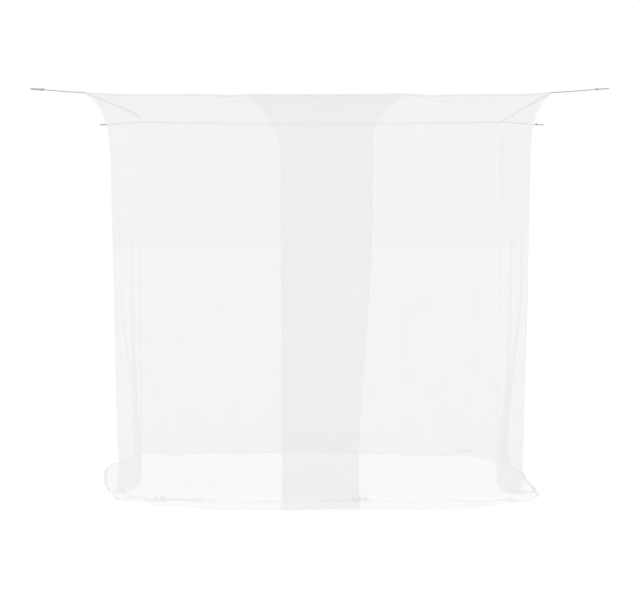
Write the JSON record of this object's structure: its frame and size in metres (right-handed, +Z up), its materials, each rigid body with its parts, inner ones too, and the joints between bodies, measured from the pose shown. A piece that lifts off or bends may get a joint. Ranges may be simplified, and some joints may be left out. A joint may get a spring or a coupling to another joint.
{
  "type": "mosquito net canopy",
  "caption": "Box-shaped sheer net with two overlapping front flaps, taped roof seam, a corner cord with a loop at each top corner, and a hem that lies on the floor.",
  "frame": {"origin": "on the floor, under the middle of the cloth", "axes": "+Z up, -Y out of the front with the overlapping flaps, +X to the right of a viewer who faces the front"},
  "size_m": [2.6612, 2.5476, 1.9299],
  "materials": {
    "roof_net": "sheer knitted net, matt",
    "wall_net": "sheer knitted net, matt",
    "binding_tape": "woven tape, matt",
    "cord": "twisted cord, matt"
  },
  "bodies": {
    "root": {"roof_panel": "roof_net", "front_left_panel": "wall_net", "front_right_panel": "wall_net", "right_wall": "wall_net", "back_wall": "wall_net", "left_wall": "wall_net", "binding_front": "binding_tape", "binding_right": "binding_tape", "binding_back": "binding_tape", "binding_left": "binding_tape", "tie_front_left": "cord", "tie_front_right": "cord", "tie_back_right": "cord", "tie_back_left": "cord", "loop_front_left": "cord", "loop_front_right": "cord", "loop_back_right": "cord", "loop_back_left": "cord"}
  },
  "joints": []
}
